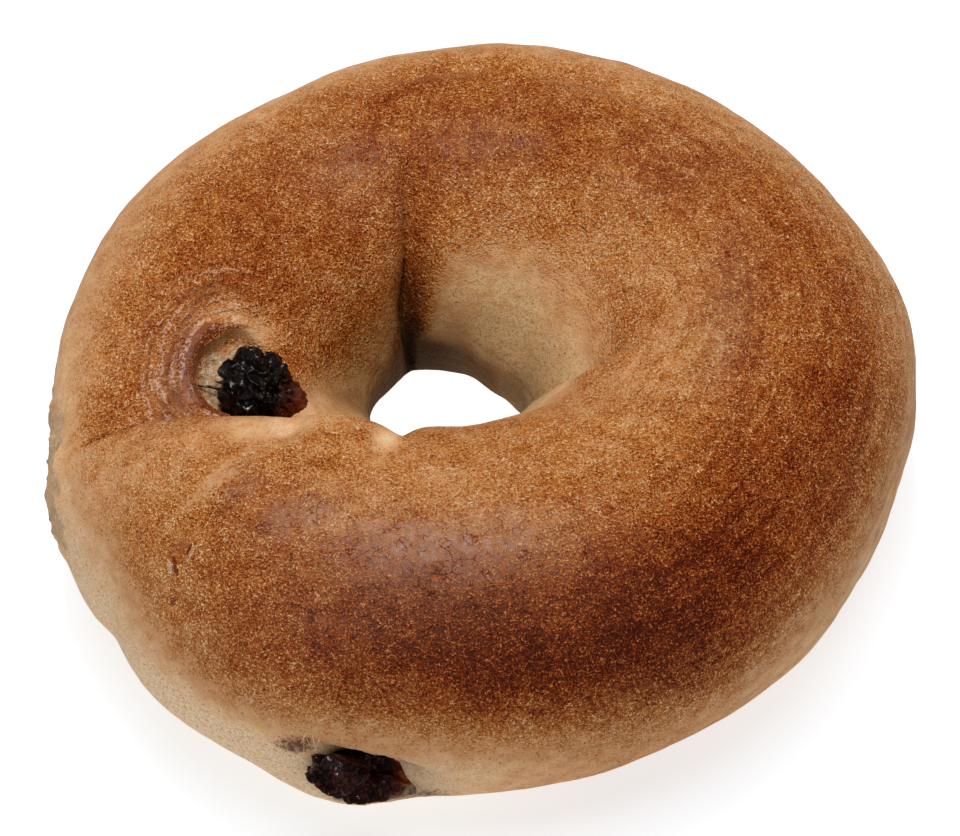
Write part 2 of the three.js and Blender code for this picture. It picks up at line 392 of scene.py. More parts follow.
def move_to(mesh, points):
    mesh.vertices.foreach_set("co", points.astype(np.float32).ravel())
    mesh.update()


dough_mesh = spun_net()
net_x, net_y, net_z = places(dough_mesh).T
even_ring = np.arctan2(net_y, net_x)
even_turn = np.arctan2(net_z, np.hypot(net_x, net_y) - MIDDLE)
ring = even_ring - 0.35 * np.sin(even_ring - CROWD_RINGS_AT)
turn = even_turn - 0.40 * np.sin(even_turn - CROWD_ROWS_AT)
ring_degrees = np.degrees(np.mod(ring, 2 * np.pi))
turn_degrees = np.mod(np.degrees(turn) + 90, 360) - 90
print("dough net:", len(dough_mesh.vertices), "points")

# %% Lay the net on the rope
crust = rope_point(ring, turn)
rope_out = rope_normal(ring, turn)
crust = crust + rope_out * main_relief(crust, rope_out, ring, turn)[:, None]
move_to(dough_mesh, crust)
out = directions_out(dough_mesh)
x, y, z = crust.T
top = rising(out[:, 2], 0, 0.6)
off_tray = rising(z, 0.5, 5)
print("bagel before its fine skin:", np.ptp(crust, axis=0).round(1), "mm")

# %% [markdown]
# ## Fine skin
# Boiled dough dries into a skin that is never quite smooth. Broad unevenness left by fingers comes
# first, then finer roughness, and ridges that run with the rope where it was stretched. They move the
# mesh by a few tenths of a millimetre. The hem, where dough folded out at the foot of the hole's wall,
# is larger.

# %% Unevenness and ridges
HEM_HEIGHT = 1.2
UNROLLED = 34  # radius in millimetres at which the ring is unrolled into a map for streaks
rope_map = np.stack(
    [UNROLLED * np.cos(ring), UNROLLED * np.sin(ring), np.radians(turn_degrees) * 18], axis=1
)
lift = 0.30 * rough(crust, 11, 2.0) + 0.13 * rough(crust, 4.2, 8.0) + 0.05 * rough(crust, 1.7, 4.0)
stretched = rope_map / np.array([9, 9, 1.5])
right_flank = rising(x, 8, 34) * rising(z, 10, 22)
lift += 0.10 * ridged(stretched, 1.0, 6.0) * (0.25 + 0.75 * right_flank)
hem = rising(turn_degrees, 165, 180) * falling(turn_degrees, 205, 235)
lift += HEM_HEIGHT * hem * rising(ring_degrees, 10, 32) * falling(ring_degrees, 52, 80)
streaky = np.maximum(right_flank, rising(turn_degrees, 165, 178) * (y > 0))
streaky = np.maximum(streaky, hill(x, y, (-15.5, 7), (4.5, 7)))
lift *= off_tray
print("unevenness:", round(float(lift.std()), 2), "mm (standard deviation)")

# %% [markdown]
# ## Torn and pressed places
# The lap's edge dried into a lip over a seam, which the browning darkens with painted shade. Where the
# upper raisin broke through, the skin stands up in a torn rim round a sunken, crumbly floor. The lower
# raisin pushed a mouth into the front, with a brow above it and a bulge of dough that carries it, and the
# left flank is ragged where the bagel was pulled off its neighbour.

# %% The lap's lip and the crater's torn rim
TORN_AT = (-25.3, -4.8)
TORN_HALF = (5.9, 6.4)
TORN_RADIUS = 6.15  # what the mean of the two halves counts as, in millimetres
RIM_AT = 6.4
RIM_HEIGHT = 0.65
FLOOR_DEPTH = 1.1
LIP_HEIGHT = 0.35
LIP_PUSH = 0.9
SEAM_DEPTH = 0.80
ahead = lap_edge(x) - y
seam = lap_strength(x) * top
behind_lap = falling(ahead, -0.9, 0.6)
wander = rough(crust, 2.6, 12.0)
torn_x = (x - TORN_AT[0]) / TORN_HALF[0]
torn_y = (y - TORN_AT[1]) / TORN_HALF[1]
from_crater = np.hypot(torn_x, torn_y) * TORN_RADIUS
around_crater = np.arctan2(torn_y, torn_x)
rim = line(from_crater - RIM_AT - 0.4 * wander, 0.9) * behind_lap * top
floor = falling(from_crater, 4.6 + 0.8 * wander, 5.9 + 0.8 * wander) * behind_lap * top
crumb_floor = falling(from_crater, 3.5 + 1.1 * wander, 5.0 + 1.1 * wander) * behind_lap * top
crumb_floor *= falling(x, -24, -17)
lift += RIM_HEIGHT * rim * falling(x, -25, -19) - FLOOR_DEPTH * floor * falling(x, -27, -19)
lift += floor * (0.28 * rough(crust, 1.3, 21.0) + 0.12 * rough(crust, 0.7, 3.0))
lift += LIP_HEIGHT * line(ahead - 1.2, 1.0) * seam
seam_line = rising(x, -46, -41) * falling(x, -8, 0) * top
lift -= SEAM_DEPTH * line(ahead + 0.35, 0.6) * seam_line
lip_push = LIP_PUSH * line(ahead - 0.4, 0.8) * seam
print("torn crater floor covers", int(floor.sum()), "points")

# %% Where the left flank tore off its neighbour
STRIP_AT = (191, 4)  # ring angle and turn, in degrees
STRIP_HALF = (16, 24)
strip = 1 - ((ring_degrees - STRIP_AT[0]) / STRIP_HALF[0]) ** 2
strip = strip - ((turn_degrees - STRIP_AT[1]) / STRIP_HALF[1]) ** 2
strip = rising(strip + 0.35 * rough(crust, 3.0, 33.0) + 0.25 * rough(crust, 1.2, 34.0), 0, 0.4)
shreds = 0.5 * rough(crust, 2.2, 31.0) + 0.55 * rough(crust, 1.0, 7.0) + 0.35 * rough(crust, 0.6, 1.0)
lift += strip * (shreds - 0.25)
print("ragged strip covers", int(strip.sum()), "points")

# %% The mouth that the lower raisin broke through
BROW_HEIGHT = 0.9
SLING_HEIGHT = 2.2
front = y < -40
mouth = hill(x, z, (-10.2, 12.6), (9.2, 6.6), -12) * front
brow = line(z - 20.3 + 0.34 * (x + 10), 1.1) * hill(x, z, (-8, 19.5), (8, 5), -18) * front
sling = hill(x, z, (-11.4, 6.6), (7.0, 3.4), 6) * front
lift += BROW_HEIGHT * brow + SLING_HEIGHT * sling
lift += mouth * (0.25 * rough(crust, 1.6, 14.0) + 0.1 * rough(crust, 0.8, 15.0))
under_line = z - 18.2 - 0.12 * (x - 4) + 0.8 * wander
line_run = rising(x, -4, 2) * falling(x, 22, 34) * (y < -20)
lift -= 0.35 * line(under_line, 0.55) * line_run
bruise = hill(x, z, (-17.4, 19.0), (3.0, 2.1), 35) * front
lift += bruise * (0.5 * ridged(crust, 1.8, 11.0) - 0.2)
print("the dough bulges", round(float((SLING_HEIGHT * sling).max()), 1), "mm under the lower raisin")

# %% Where the crown shines, the skin is leathery
GLOSS_PATCHES = [  # centre in plan, half widths, turn, strength
    ((-1, -37.8), (18, 7), 4, 1.0),
    ((-17, -31.5), (7, 3.5), 22, 0.85),
    ((34.5, 0), (4.5, 12), -8, 0.6),
    ((-12, 26), (8, 6), -20, 0.4),
    ((4.5, 28), (9, 6), 10, 0.3),
    ((-31.5, -7), (3.2, 8), -12, 0.95),
    ((-23.8, -28), (2.6, 2.0), 40, 0.7),
    ((-25.5, -25), (5.5, 0.8), 37, 0.6),
    ((28, 22), (8, 7), 0, 0.3),
]
RIPPLE_HEIGHT = 0.13
RIPPLE_SPACING = 1.15
gloss = 0.0 * x
for at, half, lean, strength in GLOSS_PATCHES:
    gloss = np.maximum(gloss, strength * hill(x, y, at, half, lean) * top)
lift += gloss * 0.09 * ridged(crust, 1.5, 51.0)
round_crater = falling(from_crater, 9, 17) * falling(x, -27, -22) * behind_lap * top
ripple = round_crater * rising(from_crater, 6.0, 7.0)
wave = np.sin((from_crater + 0.9 * rough(crust, 2.4, 52.0)) * 2 * np.pi / RIPPLE_SPACING)
lift += ripple * RIPPLE_HEIGHT * wave
print("sheen over", round(float((gloss > 0.5).mean()) * 100, 1), "% of the points")

# %% Blister, crack and small dimples
BLISTER_HEIGHT = 0.75
CRACK_DEPTH = 0.55
DIMPLES = [(-31.5, -37.5, 0.5), (-0.5, -39.4, 0.4), (-4.3, 37.3, 0.5), (0.1, 45.7, 0.5)]  # x, y, depth
DIMPLE_HALF = (0.5, 0.5)
blister = hill(x, y, (8.2, 39.4), (3.4, 1.1), -8) * top
lift += BLISTER_HEIGHT * blister - 0.5 * hill(x, y, (8.6, 38.0), (3.6, 0.6), -8) * top
crack = hill(x, y, (-31.2, -33.8), (0.6, 2.0), 25) * top + hill(x, y, (-32.0, -33.2), (1.8, 0.5), 20) * top
lift -= CRACK_DEPTH * crack
for dimple_x, dimple_y, depth in DIMPLES:
    lift -= depth * hill(x, y, (dimple_x, dimple_y), DIMPLE_HALF) * top

crust = crust + out * lift[:, None]
crust[:, 1] += lip_push
print("skin lifts from", lift.min().round(2), "to", lift.max().round(2), "mm")

# %% [markdown]
# ## Pockets under the raisins
# Dough that met a raisin flowed round it. Cutting the raisin out of the dense skin would leave ragged
# faces, so the skin is pushed instead: a point inside the raisin slides down to the raisin's far side
# and a hair further, which leaves a snug pocket and keeps the net whole.

# %% Press the pockets
CLEARANCE = 0.04  # as a share of the raisin's radius


def press_pocket(points, raisin, open_to):
    lie = raisin_lie(raisin)
    half = np.array(raisin["size"]) / 2
    local = (points - np.array(raisin["at"])) @ lie / half
    way = unit(np.array(open_to) @ lie / half)
    depth = local @ way
    aside = local - depth[:, None] * way
    spread = (aside * aside).sum(axis=1)
    target = -np.ones(len(points))
    for _ in range(3):
        facing = unit(aside + target[:, None] * way)
        size = raisin_lump(facing, raisin) + CLEARANCE
        target = -np.sqrt(np.maximum(size * size - spread, 1e-6))
    inside = (spread < (size * 0.97) ** 2) & (depth > target) & (depth < 1.6)
    moved = (aside + target[:, None] * way) * half @ lie.T + np.array(raisin["at"])
    return np.where(inside[:, None], moved, points), inside


OPEN_TO = {"raisin_top": (0.0, -0.15, 1.0), "raisin_side": (0.0, -1.0, 0.15)}
for name, raisin in RAISINS.items():
    crust, pressed = press_pocket(crust, raisin, OPEN_TO[name])
    print("pocket for", name, "took", int(pressed.sum()), "points")

crust[:, 2] = np.maximum(crust[:, 2], 0)
move_to(dough_mesh, (crust + HOLE_AXIS) * MM)

# %% [markdown]
# ## Where the oven reached
# Browning follows the shape: most on the crown, least low on the flanks and down in the hole. On this
# ring it also differs from place to place, so the edges of the brown zone and its darkness are given
# round the ring like the rope's own sizes. Soft patches add what a hand-made bagel has besides. Painted
# shade and light go into the browning too: darker deep in the crease, along the lap's seam and at the
# hole's left lip, lighter on the crater's shadowed top slope. Other maps say where crumb is bare and
# where a raisin stained the dough, and one holds painted shade in the crease, down the hole and round
# the lower raisin's mouth, with the darker tone of the hole's foot. All of them are stored on the
# points and read by the crust's material.

# %% Browning
FLANK_BAKE = [0.24, 0.26, 0.34, 0.22, 0.20, 0.32, 0.20, 0.03, 0.04, 0.18, 0.36, 0.20]
RISE_AT = [26, 42, 57, 50, 54, 58, 44, 27, 17, 20, 14, 18]  # turn where the flank has half browned
DARKEST_AT = [54, 80, 92, 100, 90, 95, 80, 60, 46, 43, 42, 50]
PEAK_BAKE = [0.70, 0.64, 0.65, 0.66, 0.64, 0.66, 0.62, 0.46, 0.66, 0.84, 0.90, 0.80]
SHOULDER_BAKE = [0.48, 0.43, 0.46, 0.54, 0.58, 0.62, 0.58, 0.50, 0.48, 0.49, 0.49, 0.47]
PALE_FROM = [148, 154, 149, 155, 168, 172, 156, 130, 150, 150, 150, 150]
RISE_WIDTH = 24
FALL_FROM = -20  # both in degrees from the turn where the hole's wall turns pale
FALL_TO = 10
WALL_BAKE = 0.06
FOOT_BAKE = 0.20
TRAY_BAKE = 0.40
RIM_BAKE = 0.74
CRATER_BAKE = 0.40
PALE_LIP_BAKE = 0.13
CREASE_WIDTH = 2.3
BAKE_PATCHES = [  # centre in plan, half widths, turn, how much browner
    ((-9, 30), (2.4, 8), -10, 0.10),
    ((-15, 30), (6, 6), 0, -0.06),
    ((-10.5, 23), (3.5, 3), 0, -0.10),
    ((-14.4, -19.8), (2.0, 1.4), 0, 0.10),
    ((-25, -25.8), (3.2, 1.2), 37, -0.12),
    ((-45.5, 4), (2, 9), 0, 0.10),
    ((30, -36), (12, 5), 38, 0.06),
    ((-2, -46), (12, 4), -8, 0.06),
    ((-30, -22), (6, 5), 0, -0.06),
    ((-13.4, -24), (4, 1.7), 12, 0.16),
    ((-9.4, -19.3), (1.0, 1.4), 0, 0.16),
    ((-12.5, -19.2), (3.2, 1.6), 8, 0.08),
    ((-42, -9.5), (4.5, 4), 0, 0.26),
    # painted shade on the hole's left lip
    ((-12.4, 0), (2.2, 4), 0, 0.30),
    # painted light: lifts the crater's steep top slope out of its shadow
    ((-26, 1.2), (4.5, 2.4), 0, -0.32),
    ((44, -32), (6, 6), 0, -0.06),
    ((-6.4, -19.0), (1.7, 2.2), 0, -0.40),
    ((-23, 1.5), (5, 2.2), -12, -0.16),
    ((-18.3, -0.3), (1.6, 1.4), 30, 0.20),
    ((-15.8, -3), (2, 3.2), 0, -0.12),
    ((-26, -21), (1.6, 7), 35, 0.12),
    ((-27, -26.5), (6, 0.5), 35, -0.16),
    ((-25.5, -24.5), (6, 0.5), 37, -0.16),
    ((-24, -22.5), (5, 0.5), 39, -0.14),
    ((-14, -41.2), (0.9, 0.7), 0, -0.18),
    ((-0.4, -39.5), (0.7, 0.5), 0, 0.35),
]

rise_at = round_the_ring(RISE_AT, ring)
darkest_at = round_the_ring(DARKEST_AT, ring)
end = round_the_ring(PALE_FROM, ring)
past_peak = rising(turn_degrees, darkest_at, darkest_at + 52)
brown = blend(round_the_ring(PEAK_BAKE, ring), round_the_ring(SHOULDER_BAKE, ring), past_peak)
rise = rising(turn_degrees, rise_at - RISE_WIDTH, rise_at + RISE_WIDTH)
fall = falling(turn_degrees, end + FALL_FROM, end + FALL_TO)
wall_bake = WALL_BAKE + 0.16 * rising(ring_degrees, 130, 160) * falling(ring_degrees, 200, 230)
bake = blend(round_the_ring(FLANK_BAKE, ring), brown, rise) * fall + wall_bake * (1 - fall)
for at, half, lean, change in BAKE_PATCHES:
    bake += change * hill(x, y, at, half, lean) * rise * fall
out_from_axis = np.hypot(x, y)
aside = crease_aside(x, y)
low_in_crease = falling(z, 19, 31)
# a browner streak along the crease, which turns to painted shade low down in it
crease_brown_and_shade = line(aside - blend(2.2, -0.1, low_in_crease), CREASE_WIDTH) * (y > 4)
crease_brown_and_shade *= falling(out_from_axis, 22, 34)
bake += crease_brown_and_shade * blend(0.12, 0.8, low_in_crease)
foot = rising(turn_degrees, 172, 182) * rising(ring_degrees, 20, 50) * falling(ring_degrees, 110, 130)
foot_share = foot * falling(turn_degrees, 215, 240)
bake = blend(bake, FOOT_BAKE, foot_share)
tray = np.maximum(falling(turn_degrees, -62, -40), rising(turn_degrees, 225, 245))
bake = blend(bake, TRAY_BAKE, tray)
pale_lip = hill(x, y, (-19.8, -17.2), (7.2, 2.9), 8) * top * rising(ahead, 0, 1.5)
bake = blend(bake, PALE_LIP_BAKE + 0.10 * wander, 0.9 * pale_lip)
bake += 0.045 * rough(crust, 1.6, 43.0) - 0.05
bake += 0.10 * np.clip(rough(crust, 2.3, 44.0), 0, 1) * (1 - rise)
bake = blend(bake, RIM_BAKE, rim * falling(x, -29, -23))
crater_slope = falling(from_crater, 4.8, 6.2) * behind_lap * top
bake = blend(bake, CRATER_BAKE + 0.15 * wander, crater_slope)
# painted shade: a dark line in the seam under the lap's lip
bake += 0.35 * line(ahead + 0.5, 0.6) * seam_line
bake += (0.08 * rough(crust, 9, 41.0) + 0.07 * rough(crust, 3.2, 42.0)) * (0.4 + 0.6 * rise)
bake += 0.06 * gloss
bake -= 0.12 * (y < -38) * falling(z, 14, 20) * falling(x, -4, 12)
print("browning runs from", bake.min().round(2), "to", bake.max().round(2))

# %% Torn crumb, stains and painted shade in deep places
torn = np.maximum(crumb_floor, 0.52 * strip)
torn = np.maximum(torn, 0.75 * mouth * falling(np.abs(z - 12), 6, 9))
stained = np.maximum(bruise, hill(x, z, (-1.6, 9.5), (3.0, 2.0), 0) * front * 0.7)
in_hole = rising(turn_degrees, 142, 172) * falling(turn_degrees, 235, 250)
# painted shade: the hole's wall is multiplied darker and more olive
painted_hole_shade = rising(turn_degrees, 132, 160) * falling(turn_degrees, 235, 250)
# painted shade: darker colour deep in the crease, down the hole's wall, in the lower raisin's mouth and at
# the hole's left lip; at the foot it is partly the foot's own darker tone
painted_shade_and_foot_tone = line(aside + 0.2, 2.2) * falling(z, 17, 30) * (y > 4) * falling(out_from_axis, 16, 26)
foot_tone_and_shade = blend(0.55, 0.85, rising(ring_degrees, 55, 105))
painted_shade_and_foot_tone = np.maximum(painted_shade_and_foot_tone, foot_tone_and_shade * foot_share)
left_wall_shade = rising(ring_degrees, 95, 130) * falling(ring_degrees, 190, 225)
left_wall_shade = left_wall_shade * falling(out_from_axis, 11.5, 17)
painted_shade_and_foot_tone = np.maximum(painted_shade_and_foot_tone, (0.34 + 0.36 * left_wall_shade) * in_hole * falling(z, 12, 39))
painted_shade_and_foot_tone += 0.9 * hill(x, z, (-7.6, 17.8), (5.0, 1.3), -18) * front
painted_shade_and_foot_tone += 0.16 * hill(x, z, (-9, 13), (10, 7)) * front
painted_shade_and_foot_tone += 0.35 * hill(x, z, (-3.4, 10), (4, 4)) * front
painted_shade_and_foot_tone += 0.30 * hill(x, y, (-13.4, -3.2), (2.4, 3.6)) * top
swirl = np.stack([from_crater, 1.2 * np.cos(around_crater), 1.2 * np.sin(around_crater)], axis=1)
swirl_share = falling(from_crater, 9, 17) * rising(from_crater, 6.0, 6.9) * falling(x, -27, -21)
swirl_share *= behind_lap * top
print("bare crumb on", int((torn > 0.5).sum()), "points, deep shade on", int((painted_shade_and_foot_tone > 0.5).sum()))


# %% Store the maps on the points
def store(mesh, name, values):
    if values.ndim == 1:
        made = mesh.attributes.new(name, "FLOAT", "POINT")
        made.data.foreach_set("value", values.astype(np.float32))
    else:
        made = mesh.attributes.new(name, "FLOAT_VECTOR", "POINT")
        made.data.foreach_set("vector", values.astype(np.float32).ravel())


for name, values in {
    "bake": bake, "gloss": gloss, "torn": torn, "stained": stained, "painted_shade_and_foot_tone": painted_shade_and_foot_tone,
    "swirl_share": swirl_share, "painted_hole_shade": painted_hole_shade, "along_rope": rope_map, "swirl": swirl,
    "flank": streaky,
}.items():
    store(dough_mesh, name, values)
print("values on the dough's points:", len(dough_mesh.attributes), "kinds")

# %% [markdown]
# ## Writing materials as sums
# A node tree is easier to read as arithmetic than as a web of hundreds of links. A small class wraps
# one output of a node, so that adding or multiplying two of them adds the Math node that does it.
# Colours go through Mix nodes instead, because a Math node would turn them grey.


# %% A small language for finishes
class Flow:
    def __init__(self, finish, socket):
        self.finish = finish
        self.socket = socket

    def math(self, operation, *others):
        values = {i: value for i, value in enumerate((self, *others))}
        return self.finish.node("ShaderNodeMath", {"operation": operation}, values)

    def __add__(self, other):
        return self.math("ADD", other)

    def __sub__(self, other):
        return self.math("SUBTRACT", other)

    def __mul__(self, other):
        return self.math("MULTIPLY", other)

    def __rsub__(self, other):
        return self.finish.node("ShaderNodeMath", {"operation": "SUBTRACT"}, {0: other, 1: self})

    __radd__ = __add__
    __rmul__ = __mul__

    def sibling(self, name):
        return Flow(self.finish, self.socket.node.outputs[name])

    def step(self, start, end):
        limits = {"Value": self, "From Min": start, "From Max": end}
        return self.finish.node("ShaderNodeMapRange", {"interpolation_type": "SMOOTHSTEP"}, limits)

    def scaled(self, *factors):
        inputs = {0: self, 1: factors}
        return self.finish.node("ShaderNodeVectorMath", {"operation": "MULTIPLY"}, inputs)

    def moved(self, other):
        return self.finish.node("ShaderNodeVectorMath", {"operation": "ADD"}, {0: self, 1: other})


# %% A finish is a material in the making
class Finish:
    def __init__(self, name):
        self.material = bpy.data.materials.new(name)
        self.material.use_nodes = True
        self.nodes = self.material.node_tree.nodes
        self.links = self.material.node_tree.links
        self.nodes.clear()
        place = self.node("ShaderNodeTexCoord", {}, {}, "Object")
        self.place = place.scaled(1 / MM, 1 / MM, 1 / MM).moved(tuple(-HOLE_AXIS))  # ring millimetres

    def node(self, kind, settings, inputs, output=0):
        made = self.nodes.new(kind)
        stops = settings.pop("stops", None)
        for name, value in settings.items():
            setattr(made, name, value)
        for place, (at, colour) in enumerate(stops or []):
            elements = made.color_ramp.elements
            element = elements[place] if place < 2 else elements.new(at)
            element.position = at
            element.color = (*colour, 1)
        for name, value in inputs.items():
            if isinstance(value, Flow):
                self.links.new(value.socket, made.inputs[name])
            else:
                made.inputs[name].default_value = value
        return Flow(self, made.outputs[output]) if made.outputs else None

    def map(self, name, output="Fac"):
        return self.node("ShaderNodeAttribute", {"attribute_name": name}, {}, output)

    def clouds(self, size, detail=2.0, roughness=0.5, where=None):
        inputs = {"Vector": where or self.place, "Scale": 1 / size}
        inputs.update({"Detail": detail, "Roughness": roughness})
        return self.node("ShaderNodeTexNoise", {}, inputs)

    def cells(self, size, output="Distance", where=None, **settings):
        inputs = {"Vector": where or self.place, "Scale": 1 / size}
        return self.node("ShaderNodeTexVoronoi", settings, inputs, output)

    def near(self, at, half, lean):
        settings = {"vector_type": "TEXTURE"}
        inputs = {"Vector": self.place, "Location": at, "Rotation": (0, 0, np.radians(lean)), "Scale": half}
        local = self.node("ShaderNodeMapping", settings, inputs)
        return self.node("ShaderNodeVectorMath", {"operation": "LENGTH"}, {0: local}, "Value")

    def mixed(self, share, below, above, way="MIX"):
        inputs = {0: share, 6: below, 7: above}
        return self.node("ShaderNodeMix", {"data_type": "RGBA", "blend_type": way}, inputs, 2)

    def surface(self, colour, roughness, height, depth, coat=0.0, **constants):
        bump = self.node("ShaderNodeBump", {}, {"Height": height, "Distance": depth * MM})
        inputs = {"Base Color": colour, "Roughness": roughness, "Normal": bump, "Coat Weight": coat}
        skin = self.node("ShaderNodeBsdfPrincipled", {}, {**inputs, **constants})
        self.node("ShaderNodeOutputMaterial", {}, {"Surface": skin})
        return self.material


# %% Colours
def paint(red, green, blue):  # from a screen's 0-255 to linear light
    shares = np.array([red, green, blue]) / 255
    linear = np.where(shares < 0.04, shares / 12.92, ((shares + 0.055) / 1.055) ** 2.4)
    return tuple(float(share) for share in linear)


def opaque(colour):
    return (*colour, 1)


print("a screen's middle grey is", round(paint(128, 128, 128)[0], 3), "in linear light")

# %% [markdown]
# ## The crust
# Browned crust isn't one colour. It runs from cream through straw and gold to a dark red-brown, and up
# close it has a fine grain, dark specks, broad mottling and faint streaks along the rope. So one number,
# how far it baked, drives a ramp of colours, and the grain, mottling and streaks push that number up and
# down before the ramp is read. That keeps every grain a colour that baking can make, though the lighter
# flecks are partly painted glints. A few tints are laid over it afterwards: honey, painted shade in the
# hole and a painted sheen on the crown.

# %% Crust colours and grain
CRUST_STOPS = [
    (0.00, paint(236, 208, 170)),
    (0.15, paint(234, 192, 146)),
    (0.30, paint(214, 158, 106)),
    (0.46, paint(194, 124, 62)),
    (0.60, paint(166, 91, 36)),
    (0.74, paint(140, 60, 12)),
    (0.88, paint(108, 34, 2)),
    (1.00, paint(70, 18, 0)),
]
GRIT_SIZE = 0.42  # all sizes in millimetres
FINE_SIZE = 0.19
PLATE_SIZE = 0.95
MOTTLE_SIZE = 1.9
GOLD_SIZE = 5.5
SPECK_SPACING = 1.05
WARP = {"Scale": 1.1, "Detail": 0.0}

crust_finish = Finish("crust_finish")
baked = crust_finish.map("bake")
shine = crust_finish.map("gloss")
flank = crust_finish.map("flank")
warp = crust_finish.node("ShaderNodeTexNoise", {}, {"Vector": crust_finish.place, **WARP}, "Color")
bent = crust_finish.place.moved(warp.scaled(0.6, 0.6, 0.6))
grit = crust_finish.clouds(GRIT_SIZE, 1.5, 0.7)
fine = crust_finish.clouds(FINE_SIZE, 0.5, 0.6)
grain = grit * 0.5 + fine * 0.5
plates = crust_finish.cells(PLATE_SIZE, where=bent, feature="DISTANCE_TO_EDGE")
mottle = crust_finish.clouds(MOTTLE_SIZE, 1, 0.6)
along_rope = crust_finish.map("along_rope", "Vector").scaled(0.1, 0.1, 1.1)
streaks = crust_finish.clouds(1.0, 1, 0.6, where=along_rope)
print("crust ramp:", len(CRUST_STOPS), "colours")


# %% Browning, grain by grain
def laid_over(share, colour, way="MIX"):
    return crust_finish.mixed(share, crust_colour, colour, way)


HONEY = opaque((1.0, 0.90, 0.62))  # this and the next two multiply what is under them
GRAIN_SHADE = opaque((0.74, 0.56, 0.44))
HOLLOW_SHADE = opaque((0.77, 0.72, 0.58))
SPECK = opaque(paint(88, 44, 18))
PAINTED_SHEEN_COLOUR = opaque(paint(140, 98, 78))
crisp = baked.step(0.02, 0.6) * 0.3 + 0.7
lines = (1 - plates.step(0.01, 0.09)) * mottle.step(0.42, 0.58)
push = (0.5 - grit) * 0.75 + (0.5 - fine) * 0.85
push = push * crisp + (mottle - 0.5) * 0.22 + (streaks - 0.5) * flank * 0.3
# lighter blister tops, partly painted glints on them
fleck_and_glint = grain.step(0.56, 0.66)
depth_of_bake = baked + push + lines * (shine * 0.15 + 0.04) - fleck_and_glint * 0.16
crust_colour = crust_finish.node("ShaderNodeValToRGB", {"stops": CRUST_STOPS}, {"Fac": depth_of_bake})
golden = crust_finish.clouds(GOLD_SIZE, 1, 0.6).step(0.42, 0.66) * baked.step(0.28, 0.5)
crust_colour = laid_over(golden * 0.6, HONEY, "MULTIPLY")
specks = crust_finish.cells(SPECK_SPACING, where=bent)
picked = crust_finish.node("ShaderNodeSeparateColor", {}, {"Color": specks.sibling("Color")}, 1)
speck = (1 - specks.step(0.06, 0.17)) * picked.step(0.15, 0.35)
crust_colour = laid_over(speck * 0.75, SPECK)
pale_grain = grain.step(0.46, 0.59) * (1 - baked.step(0.2, 0.55))
crust_colour = laid_over(pale_grain * 0.95, GRAIN_SHADE, "MULTIPLY")
# painted shade in the hole
crust_colour = laid_over(crust_finish.map("painted_hole_shade"), HOLLOW_SHADE, "MULTIPLY")
# painted sheen: the greyish bloom of the overhead light's reflection, laid into the colour where the crown
# shines
painted_sheen = shine * (1 - lines * 0.6) * (1.2 - grit * 0.5) * 0.42
crust_colour = laid_over(painted_sheen, PAINTED_SHEEN_COLOUR)
print("browning and tints:", len(crust_finish.nodes), "nodes")

# %% [markdown]
# ## Wrinkles, bare crumb and small marks
# Dry skin lies in curved wrinkles round the torn rim, with painted highlights on their ridges and painted
# shade between them. Where the skin is gone the crumb is paler and rougher, and a raisin's juice stains
# what it touched. The last few marks are smaller than the mesh can hold, so each is a soft ellipse with a
# ragged edge, put at its own place in the finish.

# %% Wrinkles round the torn rim, with painted highlights and shade
PAINTED_VALLEY_SHADE_COLOUR = opaque(paint(120, 58, 30))
PAINTED_GLINT_COLOUR = opaque(paint(226, 186, 166))
swirls = crust_finish.clouds(0.8, 1, 0.5, where=crust_finish.map("swirl", "Vector")).step(0.3, 0.7)
swirl_share = crust_finish.map("swirl_share")
# painted shade between the wrinkles and painted highlights on their ridges
painted_valley_shade = (1 - swirls).step(0.5, 0.9) * swirl_share
painted_glints = swirls.step(0.62, 0.9) * swirl_share * grit.step(0.44, 0.56)
crust_colour = laid_over(painted_valley_shade * 0.55, PAINTED_VALLEY_SHADE_COLOUR)
crust_colour = laid_over(painted_glints * 0.60, PAINTED_GLINT_COLOUR)
print("with wrinkles:", len(crust_finish.nodes), "nodes")

# %% Torn crumb, the raisin's stain and painted shade
CRUMB_STOPS = [(0.3, paint(130, 92, 60)), (0.5, paint(182, 146, 108)), (0.7, paint(214, 188, 156))]
CRUMB_SIZE = 0.8
STAIN = opaque(paint(98, 56, 38))
PAINTED_SHADE_AND_FOOT_COLOUR = opaque(paint(40, 23, 6))
crumb = crust_finish.clouds(CRUMB_SIZE, 3, 0.65)
crumb_colour = crust_finish.node("ShaderNodeValToRGB", {"stops": CRUMB_STOPS}, {"Fac": crumb})
torn_share = (crust_finish.map("torn") + (crumb - 0.5) * 0.5).step(0.35, 0.6)
crust_colour = laid_over(torn_share, crumb_colour)
stain = (crust_finish.map("stained") + (crumb - 0.5) * 1.2 + (grit - 0.5) * 1.2).step(0.30, 1.0)
crust_colour = laid_over(stain * 0.9, STAIN)
# painted shade, with the foot's own darker tone, from the map stored on the points
painted_shade_and_foot_share = crust_finish.map("painted_shade_and_foot_tone") * (1.2 - grit * 0.4)
crust_colour = laid_over(painted_shade_and_foot_share, PAINTED_SHADE_AND_FOOT_COLOUR)
print("with crumb and stains:", len(crust_finish.nodes), "nodes")

